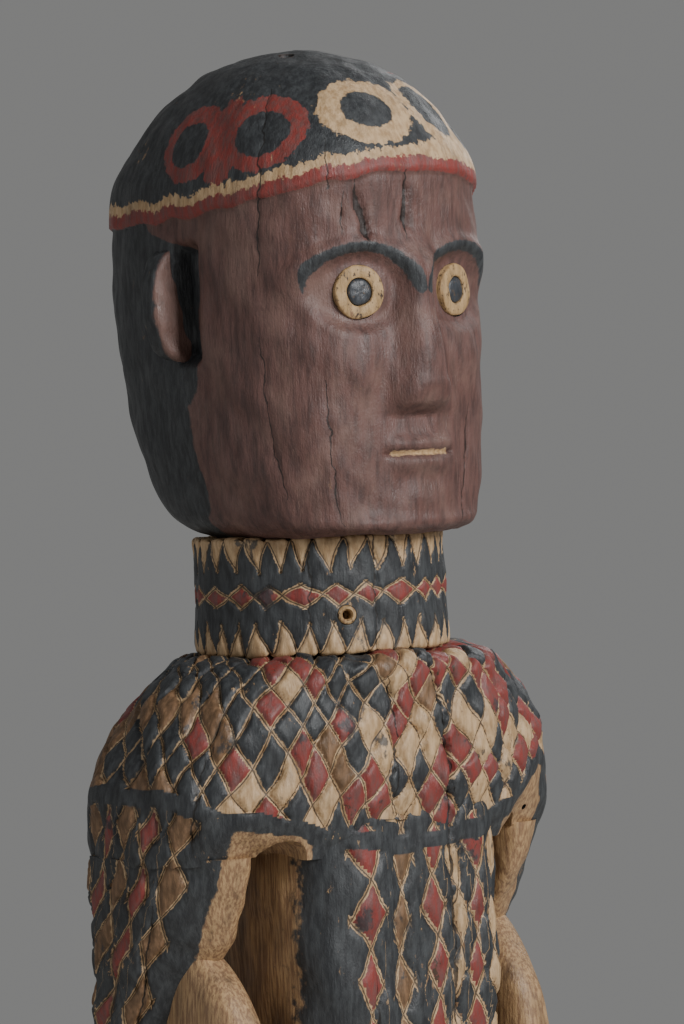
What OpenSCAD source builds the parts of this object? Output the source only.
// Carved and painted ancestor figure, standing, built from separately carved blocks.
// Millimetres. The figure faces -Y, its right side is at -X, and +Z is up.
// The origin is at the centre of the underside of the base.

/* [Height] */
// Thickness of the round base block
base_h = 60; // [40:1:90]
// Height of the soles to the top of the thighs, above the base
leg_h = 440; // [420:5:480]
// Height of the trunk, from its underside to the seat of the neck drum
trunk_h = 401.5; // [401.5:0.5:402]
// Height of the neck drum
neck_h = 58.5; // [50:0.5:70]
// Height of the head block, with its painted cap
head_h = 240; // [220:1:250]

/* [Base] */
// Radius of the base block
base_r = 140; // [138:1:160]

/* [Neck] */
// Radius of the neck drum
neck_r = 62.5; // [56:0.5:66]
// Radius of the spigot that holds the drum and the head
spigot_r = 33.8; // [25:0.1:38]

/* [Head] */
// Half width of the head between the ears
head_a = 74; // [68:1:78]
// Half depth of the head from brow to back
head_b = 93; // [86:1:98]
// Radius of the hole in the crown that takes a feather or an ornament
crown_hole_r = 4; // [2:0.5:6]
// Depth of the crown hole
crown_hole_d = 34; // [15:1:40]
// How far each ear stands out from the side of the head
ear_out = 16; // [8:1:20]
// Height of each ear
ear_h = 58; // [40:1:66]

/* [Eyes] */
// Outer radius of an eye ring
eye_r = 13; // [10:0.5:14]
// Radius of the dark plug inside the ring
plug_r = 6.5; // [4:0.5:8]

/* [Pegs] */
// Radius of the neck peg
neck_peg_r = 4.75; // [3:0.25:6]
// Radius of the pegs that lock the head, the arms and the legs
peg_r = 4.5; // [3:0.25:6]
// Gap round every tenon and peg
gap = 0.2; // [0.1:0.05:0.4]

/* [Hidden] */
$fn = 64;

RIGHT = -1;
LEFT = 1;
SIDES = 32;               // points round a carved section
STEPS = 2;                // rings between two stations

hip_z = base_h + leg_h;   // underside of the trunk
neck_z = hip_z + trunk_h; // seat of the neck drum
chin_z = neck_z + neck_h; // underside of the head
crown_z = chin_z + head_h;

spigot_top = chin_z + 45;
head_peg_z = chin_z + 24;
neck_peg_z = neck_z + 19.5;
neck_peg_turn = 28;       // degrees from the front towards the figure's right side

arm_x = 104;              // centre of an arm at the shoulder
arm_top = hip_z + 305;    // underside of the shoulder yoke
arm_tenon_r = 13;
arm_tenon_h = 44;
shoulder_peg_z = arm_top + 22;

leg_x = 39;               // centre of a thigh
leg_tenon_r = 15;
leg_tenon_h = 45;
hip_peg_z = hip_z + 24;

foot_x = 42;
foot_y = 2;
foot_tenon_r = 14;
wedge_w = 20;
wedge_t = 3;
wedge_h = 30;

eye_x = 31;
eye_z = chin_z + 117;
eye_face_y = -77;         // skin of the face at the middle of an eye
eye_turn = 17;            // how far an eye is turned out with the round of the face
eye_depth = 6;

yoke_y = 6;               // centre of the yoke, behind the axis
torso_y = -3;
head_y = 8;               // centre of the head, behind the axis

crown_hole_x = -18;
crown_hole_y = -14;
arch_x = 73;              // arch cut under the yoke between torso and arm
arch_r = 10.5;
shoulder_hole_r = 1.25;   // small blind hole in the front of the left shoulder
shoulder_hole_x = 88;
shoulder_hole_y = -38;
shoulder_hole_z = arm_top + 11;

// --- Carved shapes ---------------------------------------------------------
// A carved shape is a stack of stations, from its lowest to its highest. A station is
// [height, half width, half depth, squareness, x of centre, y of centre], and it may end with a
// lean, which shifts the section back as it goes outwards.

function sgn(v) = v < 0 ? -1 : 1;
function rounded(v, n) = sgn(v) * pow(abs(v), 2 / n);
function lean(s) = len(s) > 6 ? s[6] : 0;
function section(s) = [for (i = [0 : SIDES - 1])
    let (t = 360 * i / SIDES, out = s[1] * rounded(cos(t), s[3]), back = s[2] * rounded(sin(t), s[3]))
    [s[4] + out, s[5] + back + lean(s) * out, s[0]]];

// The value between b and c of a smooth curve through a, b, c and d
function smooth(a, b, c, d, t) =
    b + 0.5 * t * ((c - a) + t * ((2 * a - 5 * b + 4 * c - d) + t * (3 * (b - c) + d - a)));
function station(list, k) = list[max(0, min(len(list) - 1, k))];
function between(list, k, t) = smooth(station(list, k - 1), station(list, k),
    station(list, k + 1), station(list, k + 2), t);
function rings(list) = concat(
    [for (k = [0 : len(list) - 2]) for (j = [0 : STEPS - 1]) section(between(list, k, j / STEPS))],
    [section(list[len(list) - 1])]);

module carved(list) {
    stack = rings(list);
    top = len(stack) - 1;
    walls = [for (k = [0 : top - 1]) for (i = [0 : SIDES - 1])
        let (a = k * SIDES, b = a + SIDES, j = (i + 1) % SIDES)
        each [[a + i, b + i, b + j], [a + i, b + j, a + j]]];
    foot = [for (i = [0 : SIDES - 1]) i];
    lid = [for (i = [0 : SIDES - 1]) top * SIDES + SIDES - 1 - i];
    polyhedron(points = [for (r = stack) each r], faces = concat(walls, [foot, lid]));
}

module on_side(side) {
    if (side == RIGHT) mirror([1, 0, 0]) children();
    else children();
}

// --- Joints -----------------------------------------------------------------
// Every peg hole is the peg's own shape with the gap added all round.

module head_peg_shape(g = 0) {
    translate([0, -20, head_peg_z]) rotate([-90, 0, 0]) cylinder(r = peg_r + g, h = 94);
}

module neck_peg_shape(g = 0, out = 0.6) {
    rotate([0, 0, -neck_peg_turn]) translate([0, 0, neck_peg_z]) rotate([90, 0, 0])
        cylinder(r = neck_peg_r + g, h = neck_r + out);
}

module shoulder_peg_shape(side, g = 0) {
    translate([side * arm_x, -22, shoulder_peg_z]) rotate([-90, 0, 0])
        cylinder(r = peg_r + g, h = 79);
}

module hip_peg_shape(side, g = 0) {
    on_side(side) translate([leg_x - 17, 0, hip_peg_z]) rotate([0, 90, 0])
        cylinder(r = peg_r + g, h = 54);
}

module eye_place(side) {
    on_side(side) translate([eye_x, eye_face_y, eye_z]) rotate([0, 0, eye_turn])
        rotate([90, 0, 0]) children();
}

// --- Head -------------------------------------------------------------------

function head_stations() = [
    [chin_z, 52, 57, 2.8, 0, -16],
    [chin_z + 4, 60, 66, 2.8, 0, -14],
    [chin_z + 14, 67, 73, 2.8, 0, -5],
    [chin_z + 45, 72, 82, 2.9, 0, 3],
    [chin_z + 85, 73.5, 89, 2.9, 0, 8],
    [chin_z + 120, head_a, head_b - 1, 2.9, 0, 10],
    [chin_z + 158, head_a, head_b - 1, 2.8, 0, 9],
    [chin_z + 178, head_a - 1, head_b - 2, 2.7, 0, 7],
    [chin_z + 197, 65, 82, 2.5, 0, 6],
    [chin_z + 214, 53.5, 68, 2.3, 0, 5],
    [chin_z + 227, 39, 50, 2.2, 0, 5],
    [chin_z + 235, 24, 31, 2.1, 0, 5],
    [chin_z + 239, 11, 14, 2, 0, 5],
    [crown_z, 4, 5, 2, 0, 5]];

module ear(side) {
    on_side(side) translate([head_a - 6, 26, chin_z + 116]) rotate([90, 0, 0])
        linear_extrude(14) intersection() {
            circle(r = ear_h / 2);
            translate([-4, -ear_h / 2]) square([ear_out + 10, ear_h]);
        }
}

module nose() {
    carved([
        [chin_z + 58, 13, 14, 2.4, 0, -84],
        [chin_z + 62, 16, 19, 2.4, 0, -84],
        [chin_z + 74, 13, 18, 2.3, 0, -83],
        [chin_z + 100, 9, 13, 2.2, 0, -81],
        [chin_z + 128, 7, 8, 2.2, 0, -79],
        [chin_z + 136, 4, 4, 2.2, 0, -77]]);
}

module head_block() {
    color("#6b4a42") difference() {
        union() {
            carved(head_stations());
            ear(RIGHT);
            ear(LEFT);
            nose();
        }
        translate([0, 0, chin_z - 1]) cylinder(r = spigot_r + gap, h = spigot_top - chin_z + 2);
        head_peg_shape(gap);
        crown_hole();
        for (side = [RIGHT, LEFT])
            eye_place(side) translate([0, 0, -eye_depth]) cylinder(r = eye_r + gap, h = 30);
    }
}

module crown_hole() {
    translate([crown_hole_x, crown_hole_y, crown_z - 6 - crown_hole_d])
        cylinder(r = crown_hole_r, h = crown_hole_d + 20);
}

module eye_ring(side) {
    color("#c7a070") eye_place(side) translate([0, 0, -eye_depth]) difference() {
        cylinder(r = eye_r, h = eye_depth + 1.5);
        translate([0, 0, -1]) cylinder(r = plug_r + gap, h = eye_depth + 5);
    }
}
module right_eye_ring() { eye_ring(RIGHT); }
module left_eye_ring() { eye_ring(LEFT); }

module eye_plug(side) {
    color("#26282b") eye_place(side) translate([0, 0, -eye_depth])
        cylinder(r = plug_r, h = eye_depth + 1);
}
module right_eye_plug() { eye_plug(RIGHT); }
module left_eye_plug() { eye_plug(LEFT); }

module head_peg() { color("#8a6540") head_peg_shape(); }

// --- Neck -------------------------------------------------------------------

module neck_drum() {
    color("#3a3d40") difference() {
        rotate_extrude() polygon([
            [spigot_r + gap, neck_z], [neck_r - 1, neck_z], [neck_r + 1, neck_z + 2],
            [neck_r + 1, neck_z + 10], [neck_r, neck_z + 22], [neck_r, chin_z - 8],
            [neck_r + 0.5, chin_z - 2], [neck_r - 1, chin_z], [spigot_r + gap, chin_z]]);
        neck_peg_shape(gap, 5);
    }
}

module neck_peg() {
    color("#a07848") difference() {
        neck_peg_shape();
        rotate([0, 0, -neck_peg_turn]) translate([0, -neck_r + 9, neck_peg_z])
            rotate([90, 0, 0]) cylinder(r = 2.25, h = 20);
    }
}

// --- Trunk ------------------------------------------------------------------

function yoke_stations() = [
    [arm_top, 125.5, 72, 2.4, 0, 9],
    [arm_top + 14, 127, 77, 2.4, 0, 8],
    [arm_top + 32, 127, 79, 2.4, 0, yoke_y],
    [arm_top + 47, 122, 77, 2.4, 0, yoke_y - 2],
    [arm_top + 62, 114, 74, 2.4, 0, 0],
    [arm_top + 77, 103, 71, 2.3, 0, -1.5],
    [arm_top + 88, 92, 69, 2.2, 0, -5],
    [arm_top + 94, 81, 66, 2.1, 0, -4],
    [neck_z, 68, 62, 2, 0, 0]];

function torso_stations() = [
    [hip_z, 72, 58, 3, 0, 0],
    [hip_z + 12, 76, 64, 3, 0, 2],
    [hip_z + 40, 76, 69, 3, 0, 3],
    [hip_z + 85, 69, 70, 3.4, 0, 0],
    [hip_z + 140, 65, 70, 4, 0, -4],
    [hip_z + 200, 62, 66, 4.6, 0, torso_y],
    [hip_z + 260, 62, 66, 5, 0, torso_y],
    [arm_top + 12, 62, 66, 5, 0, torso_y],
    [arm_top + 30, 60, 62, 4, 0, torso_y]];

module trunk_block() {
    color("#3a3d40") difference() {
        union() {
            carved(yoke_stations());
            carved(torso_stations());
            translate([0, 0, neck_z - 30]) cylinder(r = spigot_r, h = spigot_top - neck_z + 30);
        }
        neck_peg_shape(gap);
        head_peg_shape(gap);
        translate([shoulder_hole_x, shoulder_hole_y, shoulder_hole_z]) rotate([90, 0, 0])
            cylinder(r = shoulder_hole_r, h = 40);
        for (side = [RIGHT, LEFT]) {
            translate([side * arch_x, -100, arm_top]) rotate([-90, 0, 0])
                cylinder(r = arch_r, h = 200);
            translate([side * arm_x, 0, arm_top - 1])
                cylinder(r = arm_tenon_r + gap, h = arm_tenon_h + 2);
            shoulder_peg_shape(side, gap);
            translate([side * leg_x, 0, hip_z - 1])
                cylinder(r = leg_tenon_r + gap, h = leg_tenon_h + 2);
            hip_peg_shape(side, gap);
        }
    }
}

// --- Arms -------------------------------------------------------------------

function upper_arm_stations() = [
    [arm_top - 152, 9, 8, 2.4, 98, 36, 0.3],
    [arm_top - 146, 14, 14, 2.5, 98, 35, 0.3],
    [arm_top - 130, 18, 18, 2.6, 99, 32, 0.4],
    [arm_top - 91, 19, 16, 2.8, 101, 26, 0.6],
    [arm_top - 60, 20, 20, 2.8, 103, 15, 0.7],
    [arm_top - 35, 21, 26, 2.8, arm_x, 6, 0.8],
    [arm_top - 12, 22, 33, 2.8, arm_x, 0, 0.8],
    [arm_top, 22.5, 36, 2.8, arm_x, -2, 0.8]];

function forearm_stations() = [
    [arm_top - 268, 5, 12, 2.4, 90, -34],
    [arm_top - 262, 8, 20, 2.5, 90, -33],
    [arm_top - 235, 9.5, 27, 2.8, 91, -30],
    [arm_top - 205, 10, 28, 3, 91, -28],
    [arm_top - 180, 11, 23, 2.8, 91, -26],
    [arm_top - 150, 13, 34, 2.8, 91, -20],
    [arm_top - 115, 14, 37, 3, 91, -15],
    [arm_top - 82, 13, 31, 3, 91, -14],
    [arm_top - 58, 12, 22, 2.8, 92, -7],
    [arm_top - 40, 8, 12, 2.6, 93, 0]];

module arm(side) {
    difference() {
        on_side(side) union() {
            carved(upper_arm_stations());
            carved(forearm_stations());
            translate([arm_x, 0, arm_top - 10]) cylinder(r = arm_tenon_r, h = arm_tenon_h + 10);
        }
        shoulder_peg_shape(side, gap);
    }
}
module right_arm() { color("#7a5a3c") arm(RIGHT); }
module left_arm() { color("#7a5a3c") arm(LEFT); }

module right_shoulder_peg() { color("#8a6540") shoulder_peg_shape(RIGHT); }
module left_shoulder_peg() { color("#8a6540") shoulder_peg_shape(LEFT); }

// --- Legs -------------------------------------------------------------------

function leg_stations() = [
    [base_h, 29, 56, 2.8, foot_x, -26],
    [base_h + 6, 30, 58, 2.8, foot_x, -26],
    [base_h + 20, 27, 48, 2.6, foot_x, -18],
    [base_h + 36, 24, 32, 2.5, foot_x, -1],
    [base_h + 56, 24, 28, 2.5, foot_x, 4],
    [base_h + 92, 29, 35, 2.5, 42, 7],
    [base_h + 132, 34, 42, 2.5, 42, 5],
    [base_h + 172, 32, 39, 2.5, 41, -3],
    [base_h + 205, 34, 41, 2.6, 40, -10],
    [base_h + 240, 34, 42, 2.6, 40, -11],
    [base_h + 295, 36, 46, 2.7, leg_x, -6],
    [base_h + 355, 36.5, 51, 2.8, leg_x, -1],
    [base_h + 410, 36.5, 55, 3, leg_x, 1],
    [hip_z, 35, 56, 3, leg_x, 1]];

module leg(side) {
    color("#7a5a3c") difference() {
        on_side(side) union() {
            carved(leg_stations());
            translate([leg_x, 0, hip_z - 10]) cylinder(r = leg_tenon_r, h = leg_tenon_h + 10);
            translate([foot_x, foot_y, 0]) cylinder(r = foot_tenon_r, h = base_h + 10);
        }
        hip_peg_shape(side, gap);
        wedge_shape(side, gap);
    }
}
module right_leg() { leg(RIGHT); }
module left_leg() { leg(LEFT); }

module right_hip_peg() { color("#8a6540") hip_peg_shape(RIGHT); }
module left_hip_peg() { color("#8a6540") hip_peg_shape(LEFT); }

// --- Base -------------------------------------------------------------------

module wedge_shape(side, g = 0) {
    translate([side * foot_x - wedge_w / 2 - g, foot_y - wedge_t / 2 - g, 0])
        translate([0, 0, g > 0 ? -1 : 0])
            cube([wedge_w + 2 * g, wedge_t + 2 * g, wedge_h + (g > 0 ? 1 + g : 0)]);
}
module right_foot_wedge() { color("#8a6540") wedge_shape(RIGHT); }
module left_foot_wedge() { color("#8a6540") wedge_shape(LEFT); }

module base_block() {
    color("#3a3d40") difference() {
        rotate_extrude($fn = 128) polygon([
            [0, 0], [base_r - 3, 0], [base_r, 3], [base_r, base_h - 16],
            [base_r - 4, base_h - 5], [base_r - 12, base_h], [0, base_h]]);
        for (side = [RIGHT, LEFT])
            translate([side * foot_x, foot_y, -1]) cylinder(r = foot_tenon_r + gap, h = base_h + 2);
    }
}

head_block();
right_eye_ring();
left_eye_ring();
right_eye_plug();
left_eye_plug();
head_peg();
neck_drum();
neck_peg();
trunk_block();
right_arm();
left_arm();
right_shoulder_peg();
left_shoulder_peg();
right_leg();
left_leg();
right_hip_peg();
left_hip_peg();
base_block();
right_foot_wedge();
left_foot_wedge();
